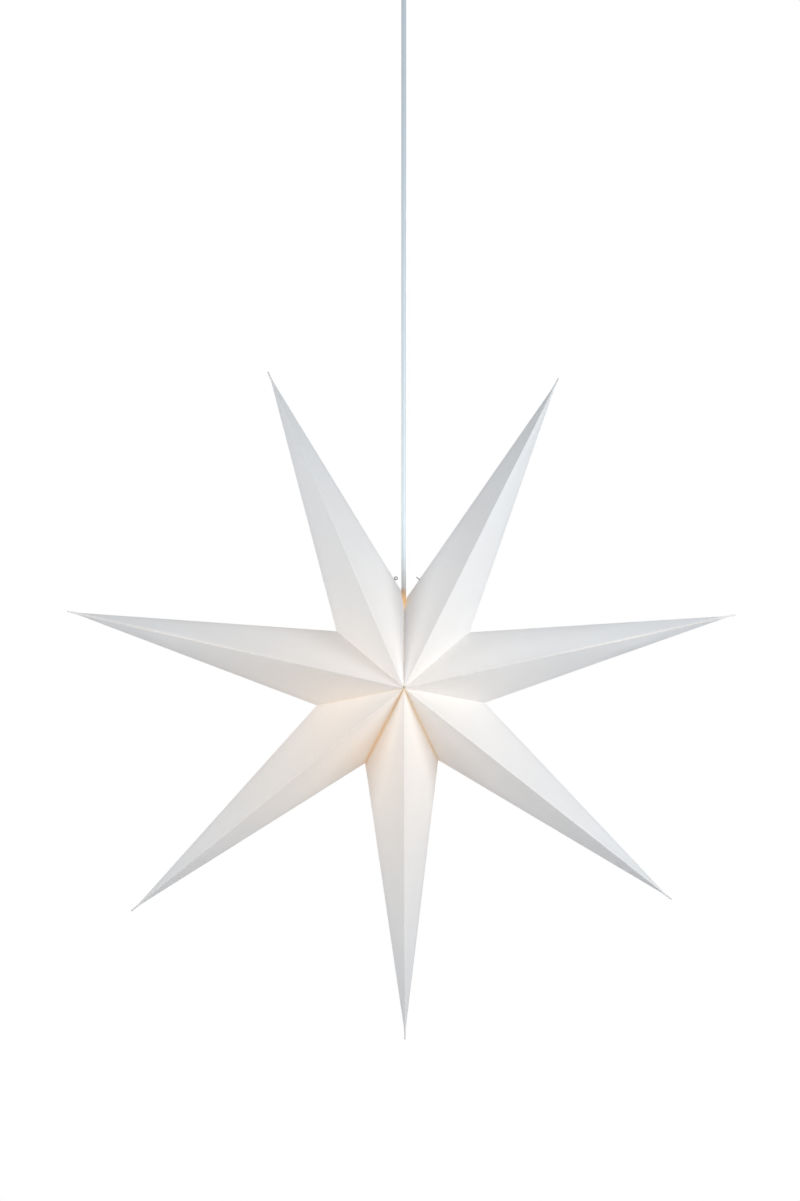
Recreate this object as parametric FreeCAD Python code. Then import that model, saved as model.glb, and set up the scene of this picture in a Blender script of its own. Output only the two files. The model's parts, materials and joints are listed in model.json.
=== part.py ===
"""Folded paper star pendant lamp, written in millimetres.

Seven hollow folded points stand round one centre. Each point is one sheet with a front ridge, a
back ridge and two side creases. It is glued along its two seams to its neighbours, apart from the
seam at the top, which opens to let the lamp in. A wire hanger on the lampholder carries the star,
a round two-core cord carries the lampholder, and a ceiling cup with a bracket carries the cord.

Frame: +Z is up and the origin is the middle of the face that lies against the ceiling. The star
faces -Y. Heights inside the pendant are given from the star's own centre, through at().
"""
import FreeCAD
import Part
import math
import os

Vector = FreeCAD.Vector

# ---- the star ------------------------------------------------------------------------------
STAR_DROP = 840.0            # ceiling to the star's centre
HALF_DEPTH = 100.0           # star's centre to its front and back centres
PAPER = 0.3                  # paper thickness
GLUE_FLANGE = 10.0           # width of the strip glued along each seam
CENTRE_HOLE = 1.2            # radius left open where all the creases meet

# Tips, clockwise from the one right of the cord: degrees from straight up, and reach.
TIPS = [(26.6, 375.0), (77.7, 369.0), (128.4, 371.0), (179.8, 382.5),
        (230.6, 383.0), (282.7, 375.0), (336.7, 373.0)]
# Glued seams between them, clockwise: degrees from straight up, and reach.
SEAMS = [(50.1, 93.0), (100.9, 89.5), (154.7, 87.5), (207.0, 92.5), (258.2, 96.5), (309.8, 95.0)]
OPEN_SEAM_RIGHT = 92.6       # reach of the open top seam's right and left sheets,
OPEN_SEAM_LEFT = 100.0       # which are not glued and have slipped a little

GAP_FOOT = 87.5              # height where the open seam starts to part round the cord
GAP_LEFT_SLOPE = 0.173       # how fast its left and right edges part, per unit of height
GAP_RIGHT_SLOPE = 0.352
CORD_PASSAGE = 3.1           # radius cleared round the cord between the open seam's sheets

CLIP_LENGTH = 8.0            # clips that hold the open seam shut, from inside
CLIP_REACH = 6.0
CLIP_WALL = 0.8
CLIP_PLACES = (0.35, 0.62)   # along the seam, from the centre to the notch

# ---- the cord ------------------------------------------------------------------------------
CORD_RADIUS = 2.7
CORE_RADIUS = 0.9
CORE_OFFSET = 1.3            # each core's distance from the cord's axis
PIVOT_Z = -70.0              # where the cord bends as the star swings
RUNNING_GAP = 0.05           # clearance between pieces that turn in each other
BEND_DEPTH = 1.6             # cord and sleeve start this far below the pivot
CORD_FOOT = 58.0             # height of the cord's lower end
SLEEVE_LENGTH = 22.0
SLEEVE_TOP_RADIUS = 4.6
SLEEVE_FOOT_RADIUS = 3.5

# ---- the ceiling fitting ---------------------------------------------------------------------
CANOPY_RADIUS = 48.0
CANOPY_HEIGHT = 52.0
CANOPY_WALL = 1.2
CANOPY_CORNER = 14.0
BRACKET_HALF = 45.0
BRACKET_WIDTH = 18.0
BRACKET_STEEL = 1.5
BRACKET_TAB = 12.0
SLOT_SPACING = 60.0
SLOT_LENGTH = 14.0
SLOT_RADIUS = 2.25
CABLE_HOLE = 6.0
SIDE_SCREW_RADIUS = 2.0
SIDE_SCREW_Z = -8.0
GLAND_THREAD = 5.0
GLAND_FLANGE = 11.0
GRIP_RADIUS = 4.0
NUT_FLATS = 14.0
NUT_THICK = 4.0
JACKET_TOP_Z = -34.0         # the jacket is stripped above this
TERMINAL_PITCH = 5.0         # half the distance between the two terminals
TERMINAL_Z = -8.0
BLOCK_Y = (4.0, 18.0)
BLOCK_HALF = 12.0
BLOCK_FOOT_Z = -13.5
CLAMP_RADIUS = 2.4
SUPPLY_BORE = 1.25           # bore for the house wires

# ---- the lampholder and bulb, heights from the star's centre -----------------------------------
HOLDER_RADIUS = 15.0
HOLDER_WALL = 1.6
HOLDER_FOOT = 8.0
HOLDER_STEP = 44.0           # cap and body meet here
SPIGOT_TOP = 50.0
SPIGOT_RADIUS = 13.9
SPIGOT_BORE = 12.4
SHOULDER = 62.0              # the hanger's ring sits on this
NECK_RADIUS = 6.0
NECK_BORE = 4.6
NECK_TOP = 72.0
INSERT_FOOT = 38.0
SOCKET_FOOT = 14.0
SOCKET_SLEEVE = 10.0
SOCKET_OUTER = 8.0
SOCKET_BORE = 7.0
BULB_THREAD = 6.95           # the bulb's cap, with its running gap in the socket
BULB_CAP_FOOT = 12.0
BULB_CAP_TOP = 32.0
BULB_RADIUS = 22.5
BULB_CENTRE = -20.0
GLASS = 0.8
CONTACT_TOP = 36.0
CONTACT_RADIUS = 2.5

# ---- the wire hanger -------------------------------------------------------------------------
WIRE_RADIUS = 0.5
EYE_RADIUS = 1.55            # centre line of the curled eyes
EYE_HEIGHT = 117.0           # where the wire passes through the top points' inner creases
WIRE_INSIDE = 5.0            # how far it runs on behind the crease before it turns down


def save(name, shape):
    """Writes one sub-part and prints its volume, so that a lost solid shows."""
    shape.exportStep("parts/%s.step" % name)
    print("%-24s %d solid(s) %10.1f mm3 %s" % (name, len(shape.Solids), shape.Volume, shape.isValid()))


def at(height, x=0.0, y=0.0):
    """A place in the pendant, its height counted from the star's centre."""
    return Vector(x, y, height - STAR_DROP)


# ---- plain shapes ----------------------------------------------------------------------------
def rod(radius, start, end):
    return Part.makeCylinder(radius, (end - start).Length, start, end - start)


def post(radius, low, high, x=0.0, y=0.0):
    return rod(radius, Vector(x, y, low), Vector(x, y, high))


def block(low, high):
    size = high - low
    return Part.makeBox(size.x, size.y, size.z, low)


def group(solids):
    return Part.makeCompound(solids)


def one_solid(shape):
    """The cleaned single solid of a boolean's result."""
    return shape.removeSplitter().Solids[0]


def turned(start, steps, lift=0.0):
    """A solid turned about Z from an outline of (radius, z). A step of two pairs is an arc
    through the first pair to the second."""
    here = Vector(start[0], 0, start[1] + lift)
    first = here
    edges = []
    for step in steps:
        if isinstance(step[0], tuple):
            middle = Vector(step[0][0], 0, step[0][1] + lift)
            there = Vector(step[1][0], 0, step[1][1] + lift)
            edges.append(Part.Arc(here, middle, there).toShape())
        else:
            there = Vector(step[0], 0, step[1] + lift)
            edges.append(Part.LineSegment(here, there).toShape())
        here = there
    edges.append(Part.LineSegment(here, first).toShape())
    face = Part.Face(Part.Wire(edges))
    solid = face.revolve(Vector(0, 0, 0), Vector(0, 0, 1), 360)
    return Part.makeSolid(solid) if solid.ShapeType != "Solid" else solid


def ring(outer, inner, low, high):
    return turned((inner, low), [(outer, low), (outer, high), (inner, high)])


def bent_rod(points, radius, bend):
    """A round wire along straight runs joined by tangent arcs of one bend radius."""
    edges = []
    here = points[0]
    for before, corner, after in zip(points, points[1:], points[2:]):
        arriving = (corner - before).normalize()
        leaving = (after - corner).normalize()
        turn = arriving.getAngle(leaving)
        setback = bend * math.tan(turn / 2)
        arc_start = corner - arriving * setback
        arc_end = corner + leaving * setback
        inward = (leaving - arriving).normalize()
        arc_middle = corner + inward * (bend / math.cos(turn / 2) - bend)
        edges.append(Part.LineSegment(here, arc_start).toShape())
        edges.append(Part.Arc(arc_start, arc_middle, arc_end).toShape())
        here = arc_end
    edges.append(Part.LineSegment(here, points[-1]).toShape())
    path = Part.Wire(edges)
    section = Part.Wire(Part.makeCircle(radius, points[0], points[1] - points[0]))
    return path.makePipeShell([section], True, False)


# ---- the ceiling fitting -----------------------------------------------------------------------
def ceiling_bracket():
    strap = block(Vector(-BRACKET_HALF, -BRACKET_WIDTH / 2, -BRACKET_STEEL),
                  Vector(BRACKET_HALF, BRACKET_WIDTH / 2, 0))
    for side in (-1, 1):
        inner, outer = sorted((side * BRACKET_HALF, side * (BRACKET_HALF - BRACKET_STEEL)))
        strap = strap.fuse(block(Vector(inner, -BRACKET_WIDTH / 2, -BRACKET_STEEL - BRACKET_TAB),
                                 Vector(outer, BRACKET_WIDTH / 2, 0)))
    strap = one_solid(strap)
    corners = [edge for edge in strap.Edges
               if edge.BoundBox.ZMin > -0.01 and abs(edge.BoundBox.XMin) > BRACKET_HALF - 0.01
               and abs(edge.BoundBox.XMax) > BRACKET_HALF - 0.01]
    strap = strap.makeFillet(BRACKET_STEEL * 0.9, corners)
    for side in (-1, 1):
        middle = side * SLOT_SPACING / 2
        reach = SLOT_LENGTH / 2 - SLOT_RADIUS
        slot = block(Vector(middle - reach, -SLOT_RADIUS, -2 * BRACKET_STEEL),
                     Vector(middle + reach, SLOT_RADIUS, BRACKET_STEEL))
        for end in (-reach, reach):
            slot = slot.fuse(post(SLOT_RADIUS, -2 * BRACKET_STEEL, BRACKET_STEEL, middle + end))
        strap = strap.cut(slot)
        strap = strap.cut(rod(SIDE_SCREW_RADIUS, Vector(side * (BRACKET_HALF - 5), 0, SIDE_SCREW_Z),
                              Vector(side * (BRACKET_HALF + 5), 0, SIDE_SCREW_Z)))
    return one_solid(strap.cut(post(CABLE_HOLE, -2 * BRACKET_STEEL, BRACKET_STEEL)))


def ceiling_canopy():
    inner = CANOPY_RADIUS - CANOPY_WALL
    floor = -CANOPY_HEIGHT + CANOPY_WALL
    straight = -(CANOPY_HEIGHT - CANOPY_CORNER)
    middle = CANOPY_CORNER * (1 - math.sqrt(0.5))
    inner_corner = CANOPY_CORNER - CANOPY_WALL
    inner_middle = inner_corner * (1 - math.sqrt(0.5))
    cup = turned((inner, 0), [
        (CANOPY_RADIUS, 0), (CANOPY_RADIUS, straight),
        ((CANOPY_RADIUS - middle, -CANOPY_HEIGHT + middle), (CANOPY_RADIUS - CANOPY_CORNER, -CANOPY_HEIGHT)),
        (GLAND_THREAD, -CANOPY_HEIGHT), (GLAND_THREAD, floor), (CANOPY_RADIUS - CANOPY_CORNER, floor),
        ((inner - inner_middle, floor + inner_middle), (inner, straight))])
    for side in (-1, 1):
        cup = cup.cut(rod(SIDE_SCREW_RADIUS + 0.15, Vector(side * (BRACKET_HALF - 2), 0, SIDE_SCREW_Z),
                          Vector(side * (CANOPY_RADIUS + 3), 0, SIDE_SCREW_Z)))
    return one_solid(cup)


def canopy_screws():
    screws = []
    for side in (-1, 1):
        shank = rod(SIDE_SCREW_RADIUS, Vector(side * (BRACKET_HALF - 4), 0, SIDE_SCREW_Z),
                    Vector(side * CANOPY_RADIUS, 0, SIDE_SCREW_Z))
        head = rod(3.8, Vector(side * CANOPY_RADIUS, 0, SIDE_SCREW_Z),
                   Vector(side * (CANOPY_RADIUS + 2.6), 0, SIDE_SCREW_Z))
        slot = block(Vector(CANOPY_RADIUS + 1.6, -0.5, SIDE_SCREW_Z - 5), Vector(CANOPY_RADIUS + 5, 0.5, SIDE_SCREW_Z + 5))
        if side < 0:
            slot = slot.mirror(Vector(0, 0, 0), Vector(1, 0, 0))
        screws.append(one_solid(shank.fuse(head).cut(slot)))
    return group(screws)


def cord_gland():
    """Threaded nipple through the canopy, a flange under it and a mouth that lets the cord swing."""
    shoulder = -62.0
    mouth_top = PIVOT_Z + 1.9
    return turned((GRIP_RADIUS, -44.0), [
        (GRIP_RADIUS, shoulder), (CORD_RADIUS, shoulder), (CORD_RADIUS, mouth_top), (6.2, PIVOT_Z),
        (6.8, PIVOT_Z), ((8.1, PIVOT_Z + 8), (GLAND_FLANGE, -56.5)), (GLAND_FLANGE, -CANOPY_HEIGHT),
        (GLAND_THREAD, -CANOPY_HEIGHT), (GLAND_THREAD, -44.0)])


def gland_nut():
    low = -CANOPY_HEIGHT + CANOPY_WALL
    radius = NUT_FLATS / math.sqrt(3)
    corners = [Vector(radius * math.cos(math.radians(60 * i)), radius * math.sin(math.radians(60 * i)), low)
               for i in range(7)]
    hexagon = Part.Face(Part.makePolygon(corners)).extrude(Vector(0, 0, NUT_THICK))
    return one_solid(hexagon.cut(post(GLAND_THREAD, low - 1, low + NUT_THICK + 1)))


def gland_grip():
    return ring(GRIP_RADIUS, CORD_RADIUS, -62.0, -48.0)


def terminal_block():
    body = block(Vector(-BLOCK_HALF, BLOCK_Y[0], BLOCK_FOOT_Z), Vector(BLOCK_HALF, BLOCK_Y[1], -BRACKET_STEEL))
    for side in (-1, 1):
        body = body.cut(rod(CLAMP_RADIUS, Vector(side * TERMINAL_PITCH, BLOCK_Y[0] - 1, TERMINAL_Z),
                            Vector(side * TERMINAL_PITCH, BLOCK_Y[1] + 1, TERMINAL_Z)))
        for y in (BLOCK_Y[0] + 3.5, BLOCK_Y[1] - 3.5):
            body = body.cut(post(1.5, BLOCK_FOOT_Z - 1, TERMINAL_Z, side * TERMINAL_PITCH, y))
    return one_solid(body)


def terminal_clamps():
    clamps = []
    middle = sum(BLOCK_Y) / 2
    for side in (-1, 1):
        x = side * TERMINAL_PITCH
        tube = rod(CLAMP_RADIUS, Vector(x, BLOCK_Y[0], TERMINAL_Z), Vector(x, BLOCK_Y[1], TERMINAL_Z))
        tube = tube.cut(rod(CORE_RADIUS, Vector(x, BLOCK_Y[0] - 1, TERMINAL_Z), Vector(x, middle, TERMINAL_Z)))
        tube = tube.cut(rod(SUPPLY_BORE, Vector(x, middle, TERMINAL_Z), Vector(x, BLOCK_Y[1] + 1, TERMINAL_Z)))
        for y in (BLOCK_Y[0] + 3.5, BLOCK_Y[1] - 3.5):
            tube = tube.cut(post(CORE_RADIUS, BLOCK_FOOT_Z - 1, TERMINAL_Z, x, y))
        clamps.append(one_solid(tube))
    return group(clamps)


def terminal_screws():
    screws = []
    for side in (-1, 1):
        for y, tip in ((BLOCK_Y[0] + 3.5, TERMINAL_Z - CORE_RADIUS), (BLOCK_Y[1] - 3.5, TERMINAL_Z - SUPPLY_BORE - 0.2)):
            x = side * TERMINAL_PITCH
            thread = post(CORE_RADIUS, BLOCK_FOOT_Z + 1, tip, x, y)
            head = post(1.5, BLOCK_FOOT_Z, TERMINAL_Z - CLAMP_RADIUS - 0.3, x, y)
            slot = block(Vector(x - 2, y - 0.25, BLOCK_FOOT_Z - 1), Vector(x + 2, y + 0.25, BLOCK_FOOT_Z + 0.6))
            screws.append(one_solid(thread.fuse(head).cut(slot)))
    return group(screws)


def upper_core(side):
    """From the stripped jacket up to the terminal block, in one easy bend."""
    return bent_rod([Vector(side * CORE_OFFSET, 0, JACKET_TOP_Z),
                     Vector(side * CORE_OFFSET, 0, JACKET_TOP_Z + 5),
                     Vector(side * TERMINAL_PITCH, -6, -20),
                     Vector(side * TERMINAL_PITCH, -6, TERMINAL_Z),
                     Vector(side * TERMINAL_PITCH, BLOCK_Y[0] + 6.5, TERMINAL_Z)], CORE_RADIUS, 3.0)


def bend_socket():
    """The room round the cord's bend, cut from what it turns in."""
    return Part.makeSphere(CORD_RADIUS + RUNNING_GAP, Vector(0, 0, PIVOT_Z))


def cord_in_canopy():
    return one_solid(post(CORD_RADIUS, PIVOT_Z + 1.9, JACKET_TOP_Z).cut(bend_socket()))


# ---- the cord ----------------------------------------------------------------------------------
def cord_bend():
    return Part.makeSphere(CORD_RADIUS, Vector(0, 0, PIVOT_Z))


def bend_sleeve():
    top = PIVOT_Z - BEND_DEPTH
    foot = top - SLEEVE_LENGTH
    bore = CORD_RADIUS + RUNNING_GAP
    return turned((bore, top), [(3.1, top), (SLEEVE_TOP_RADIUS, top - 2.2), (SLEEVE_TOP_RADIUS, top - 5),
                                (SLEEVE_FOOT_RADIUS, foot + 0.6), (SLEEVE_FOOT_RADIUS - 0.4, foot), (bore, foot)])


def cord():
    """One straight run, pulled tight by the star, into the lampholder's cap."""
    return one_solid(post(CORD_RADIUS, CORD_FOOT - STAR_DROP, PIVOT_Z - BEND_DEPTH).cut(bend_socket()))


# ---- the lampholder ------------------------------------------------------------------------------
def holder_cap():
    screw = rod(1.3, at(67, 0, -12), at(67, 0, 0))
    cap = turned((SPIGOT_RADIUS, HOLDER_STEP), [
        (HOLDER_RADIUS, HOLDER_STEP), (HOLDER_RADIUS, SPIGOT_TOP + 2),
        ((13.0, 59.0), (8.5, SHOULDER)), (NECK_RADIUS, SHOULDER), (NECK_RADIUS, NECK_TOP),
        (NECK_BORE, NECK_TOP), (NECK_BORE, SHOULDER - 1.8), (7.6, SHOULDER - 1.8),
        ((11.4, 58.0), (SPIGOT_RADIUS - 0.5, SPIGOT_TOP + 1.2)), (SPIGOT_RADIUS - 0.5, SPIGOT_TOP),
        (SPIGOT_RADIUS, SPIGOT_TOP)], -STAR_DROP)
    return one_solid(cap.cut(screw))


def cord_grip():
    screw = rod(1.3, at(67, 0, -12), at(67, 0, 0))
    return one_solid(turned((CORD_RADIUS, SHOULDER), [
        (NECK_BORE, SHOULDER), (NECK_BORE, NECK_TOP), (5.6, NECK_TOP), (5.2, NECK_TOP + 1.4),
        (CORD_RADIUS, NECK_TOP + 1.4)], -STAR_DROP).cut(screw))


def cord_grip_screw():
    thread = rod(1.3, at(67, 0, -NECK_RADIUS - 1), at(67, 0, -CORD_RADIUS - 0.4))
    head = rod(2.3, at(67, 0, -NECK_RADIUS - 2.2), at(67, 0, -NECK_RADIUS))
    slot = block(at(66.7, -3, -NECK_RADIUS - 3), at(67.3, 3, -NECK_RADIUS - 1.4))
    tip = Part.makeCone(1.3, 0.9, 0.4, at(67, 0, -CORD_RADIUS - 0.4), Vector(0, 1, 0))
    return one_solid(thread.fuse(head).fuse(tip).cut(slot).cut(post(CORD_RADIUS, -STAR_DROP, -700)))


def holder_body():
    bore = HOLDER_RADIUS - HOLDER_WALL
    return turned((bore, HOLDER_FOOT), [
        (HOLDER_RADIUS - 0.6, HOLDER_FOOT), (HOLDER_RADIUS, HOLDER_FOOT + 0.6), (HOLDER_RADIUS, HOLDER_STEP),
        (SPIGOT_RADIUS, HOLDER_STEP), (SPIGOT_RADIUS, SPIGOT_TOP), (SPIGOT_BORE, SPIGOT_TOP),
        (SPIGOT_BORE, HOLDER_STEP), (bore, HOLDER_STEP)], -STAR_DROP)


LIVE_RIVET_X = 4.0
NEUTRAL_RIVET_X = -7.4
RIVET_RADIUS = 0.9
TERMINAL_X = 6.5             # where each core enters its terminal, either side


def rivet(x):
    return rod(RIVET_RADIUS, at(INSERT_FOOT, x), at(HOLDER_STEP, x))


def holder_insert():
    bore = HOLDER_RADIUS - HOLDER_WALL
    insert = turned((0, INSERT_FOOT), [
        (SOCKET_OUTER, INSERT_FOOT), (SOCKET_OUTER, SOCKET_FOOT), (SOCKET_SLEEVE, SOCKET_FOOT),
        (SOCKET_SLEEVE, INSERT_FOOT), (bore, INSERT_FOOT), (bore, HOLDER_STEP), (0, HOLDER_STEP)], -STAR_DROP)
    return one_solid(insert.cut(rivet(LIVE_RIVET_X)).cut(rivet(NEUTRAL_RIVET_X)))


def holder_socket():
    shell = ring(SOCKET_OUTER, SOCKET_BORE, SOCKET_FOOT - STAR_DROP, INSERT_FOOT - STAR_DROP)
    return one_solid(shell.fuse(rivet(NEUTRAL_RIVET_X)))


def holder_contact():
    """Bent brass leaf that the bulb's tip presses on."""
    outline = [(5.2, INSERT_FOOT), (2.3, INSERT_FOOT), (-3.0, CONTACT_TOP + RUNNING_GAP + 0.4),
               (-3.0, CONTACT_TOP + RUNNING_GAP), (2.4, INSERT_FOOT - 0.4), (5.2, INSERT_FOOT - 0.4)]
    corners = [at(z, x, -2) for x, z in outline]
    leaf = Part.Face(Part.makePolygon(corners + corners[:1])).extrude(Vector(0, 4, 0))
    return one_solid(leaf.fuse(rivet(LIVE_RIVET_X)))


def holder_terminals():
    terminals = []
    for side in (-1, 1):
        inner, outer = sorted((side * 3.0, side * 10.0))
        body = block(at(HOLDER_STEP, inner, -3), at(SPIGOT_TOP, outer, 3))
        body = body.cut(rod(CORE_RADIUS, at(HOLDER_STEP + 2, side * TERMINAL_X), at(SPIGOT_TOP + 1, side * TERMINAL_X)))
        body = body.cut(rod(1.2, at(47.6, side * TERMINAL_X), at(47.6, side * 12)))
        terminals.append(one_solid(body))
    return group(terminals)


def holder_terminal_screws():
    screws = []
    for side in (-1, 1):
        screw = rod(1.2, at(47.6, side * (TERMINAL_X + CORE_RADIUS)), at(47.6, side * 11.6))
        slot = block(at(47.3, 11.0, -2), at(47.9, 13, 2))
        if side < 0:
            slot = slot.mirror(Vector(0, 0, 0), Vector(1, 0, 0))
        screws.append(one_solid(screw.cut(slot)))
    return group(screws)


def lower_core(side):
    return bent_rod([at(CORD_FOOT, side * CORE_OFFSET), at(CORD_FOOT - 2.2, side * CORE_OFFSET),
                     at(53.2, side * TERMINAL_X), at(HOLDER_STEP + 2, side * TERMINAL_X)], CORE_RADIUS, 1.8)


# ---- the bulb ------------------------------------------------------------------------------------
def bulb_contact():
    return turned((0, CONTACT_TOP - 1.4), [(CONTACT_RADIUS, CONTACT_TOP - 1.4), (CONTACT_RADIUS, CONTACT_TOP - 0.7),
                                           ((2.0, CONTACT_TOP - 0.15), (1.2, CONTACT_TOP)), (0, CONTACT_TOP)], -STAR_DROP)


def bulb_insulator():
    return turned((0, BULB_CAP_TOP), [(BULB_THREAD, BULB_CAP_TOP), (BULB_THREAD - 0.4, BULB_CAP_TOP + 0.6),
                                      (CONTACT_RADIUS + 0.4, CONTACT_TOP - 1.4), (0, CONTACT_TOP - 1.4)], -STAR_DROP)


def bulb_cap():
    return ring(BULB_THREAD, BULB_THREAD - 0.4, BULB_CAP_FOOT - STAR_DROP, BULB_CAP_TOP - STAR_DROP)


def bulb_globe():
    """Round glass with a short neck, thin all over and open at the top, where the stem closes it."""
    neck = BULB_THREAD - 0.4
    inside = BULB_RADIUS - GLASS
    join = 10.3              # radius where the neck runs into the ball
    join_z = BULB_CENTRE + math.sqrt(BULB_RADIUS ** 2 - join ** 2)
    inner_join = join - GLASS
    inner_join_z = BULB_CENTRE + math.sqrt(inside ** 2 - inner_join ** 2)
    return turned((neck, 16.0), [
        (neck, BULB_CAP_FOOT - 0.5), ((8.0, 5.5), (join, join_z)),
        ((BULB_RADIUS, BULB_CENTRE), (0, BULB_CENTRE - BULB_RADIUS)), (0, BULB_CENTRE - inside),
        ((inside, BULB_CENTRE), (inner_join, inner_join_z)),
        ((8.0 - GLASS, 5.2), (neck - GLASS, BULB_CAP_FOOT - 0.5)), (neck - GLASS, 16.0)], -STAR_DROP)


STEM_FOOT = -6.0
STEM_RADIUS = 2.0
FILAMENT_RADIUS = 0.8


def bulb_stem():
    """Glass post that seals the neck and carries the filaments."""
    neck = BULB_THREAD - 0.4 - GLASS
    round_end = STEM_RADIUS * math.sqrt(0.5)
    return turned((0, 16.0), [
        (neck, 16.0), (neck, 14.8), ((2.6, 12.0), (STEM_RADIUS, 7.0)), (STEM_RADIUS, STEM_FOOT),
        ((round_end, STEM_FOOT - round_end), (0, STEM_FOOT - STEM_RADIUS))], -STAR_DROP)


def bulb_filaments():
    sticks = []
    for quarter in range(4):
        angle = math.radians(45 + 90 * quarter)
        top = at(STEM_FOOT + 1, 2.2 * math.cos(angle), 2.2 * math.sin(angle))
        foot = at(-32, 7.5 * math.cos(angle), 7.5 * math.sin(angle))
        sticks.append(one_solid(rod(FILAMENT_RADIUS, top, foot).cut(bulb_stem())))
    return group(sticks)


# ---- the folded star -------------------------------------------------------------------------------
FRONT = at(0, 0, -HALF_DEPTH)
BACK = at(0, 0, HALF_DEPTH)


def on_clock(degrees, reach):
    """A place in the star's middle plane, clockwise from straight up as seen from the front."""
    angle = math.radians(degrees)
    return at(reach * math.cos(angle), reach * math.sin(angle))


def seams_of(number):
    """The two notches beside a point, on its anticlockwise and clockwise sides."""
    before = on_clock(*SEAMS[number - 1]) if number > 0 else on_clock(0, OPEN_SEAM_RIGHT)
    after = on_clock(*SEAMS[number]) if number < len(SEAMS) else on_clock(0, OPEN_SEAM_LEFT)
    return before, after


def half_space(place, normal):
    """A huge block on the inner side of a plane."""
    size = 3000.0
    slab = Part.makeBox(size, size, size, Vector(-size / 2, -size / 2, -size))
    turn = FreeCAD.Rotation(Vector(0, 0, 1), normal)
    slab.Placement = FreeCAD.Placement(place, turn)
    return slab


def solid_within(planes):
    """The convex solid inside a list of planes, each as (place, outward normal)."""
    shape = half_space(*planes[0])
    for plane in planes[1:]:
        shape = shape.common(half_space(*plane))
    return one_solid(shape)


def outward_normal(a, b, c, inside):
    normal = (b - a).cross(c - a).normalize()
    return normal if normal.dot(inside - a) < 0 else normal * -1


def mitre(normal, neighbour, place):
    """The plane that halves the corner between a wall and its neighbour, as the wall's own limit."""
    return place, (neighbour - normal).normalize()


def layer(place, normal):
    """The two faces of a sheet of paper that lies just inside a plane."""
    return [(place, normal), (place - normal * PAPER, normal * -1)]


def crease_hole(number):
    """Where the hanger passes through a top point's inner crease: the place, and the way out of it
    towards the cord."""
    before, after = seams_of(number)
    notch = before if number == 0 else after
    along = (on_clock(*TIPS[number]) - notch).normalize()
    place = notch + along * ((EYE_HEIGHT - STAR_DROP - notch.z) / along.z)
    outward = Vector(0, 1, 0).cross(along).normalize()
    if outward.x * place.x > 0:
        outward = outward * -1
    return place, outward


def open_seam_limits(number):
    """The open seam parts in a V in front of and behind the cord."""
    slope = GAP_RIGHT_SLOPE if number == 0 else -GAP_LEFT_SLOPE
    side = 1 if number == 0 else -1
    return [(at(GAP_FOOT), Vector(-side, 0, side * slope).normalize())]


def star_point(number):
    """One folded sheet, as its flat panels and glued strips, which meet at the creases."""
    tip = on_clock(*TIPS[number])
    notches = seams_of(number)
    inside = (tip + notches[0] + notches[1] + FRONT + BACK) / 5
    out = (tip - at(0)).normalize()
    centre_hole = (at(0) + out * CENTRE_HOLE, out * -1)
    seams = [outward_normal(FRONT, notch, BACK, inside) for notch in notches]
    open_side = {0: 0, len(TIPS) - 1: 1}.get(number)
    sheet = []
    for face in (FRONT, BACK):
        far_side = (at(0), Vector(0, -1 if face is BACK else 1, 0))
        panels = [outward_normal(face, tip, notch, inside) for notch in notches]
        for side, notch in enumerate(notches):
            parting = open_seam_limits(number) if side == open_side else []
            panel = solid_within(layer(face, panels[side]) + parting + [
                mitre(panels[side], panels[1 - side], face), mitre(panels[side], seams[side], face),
                far_side, centre_hole])
            if side == open_side:
                place, outward = crease_hole(number)
                panel = one_solid(panel.cut(rod(WIRE_RADIUS, place - outward * 2, place + outward * 2)))
                far_side_of_strip = (far_side[0] - far_side[1] * CORD_PASSAGE, far_side[1])
            else:
                far_side_of_strip = far_side
            inward = (notch - face).cross(seams[side]).normalize()
            inward = inward if inward.dot(at(0) - face) > 0 else inward * -1
            strip = solid_within(layer(face, seams[side]) + parting + [
                mitre(seams[side], panels[side], face), mitre(seams[side], seams[1 - side], at(0)),
                far_side_of_strip, (face + inward * GLUE_FLANGE, inward), centre_hole])
            sheet += [panel, strip]
    return group(sheet)


def hanger_wire():
    """A ring on the lampholder's shoulder, with two legs that hook through the top points."""
    ring_z = SHOULDER + WIRE_RADIUS
    ring_radius = NECK_RADIUS + WIRE_RADIUS
    wire = Part.makeTorus(ring_radius, WIRE_RADIUS, at(ring_z))
    foot = ring_radius + WIRE_RADIUS / 2          # within the ring's wire, clear of the neck
    for number, eye_normal in ((0, Vector(1, 0, 1)), (len(TIPS) - 1, Vector(0, 1, 0))):
        place, outward = crease_hole(number)
        side = 1 if number == 0 else -1
        end = place + outward * 0.6
        knee = place - outward * WIRE_INSIDE
        leg = bent_rod([end, knee, at(ring_z, side * foot)], WIRE_RADIUS, 2.0)
        eye = Part.makeTorus(EYE_RADIUS, WIRE_RADIUS, end + outward * EYE_RADIUS, eye_normal)
        wire = wire.fuse(leg).fuse(eye)
    return one_solid(wire)


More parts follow.
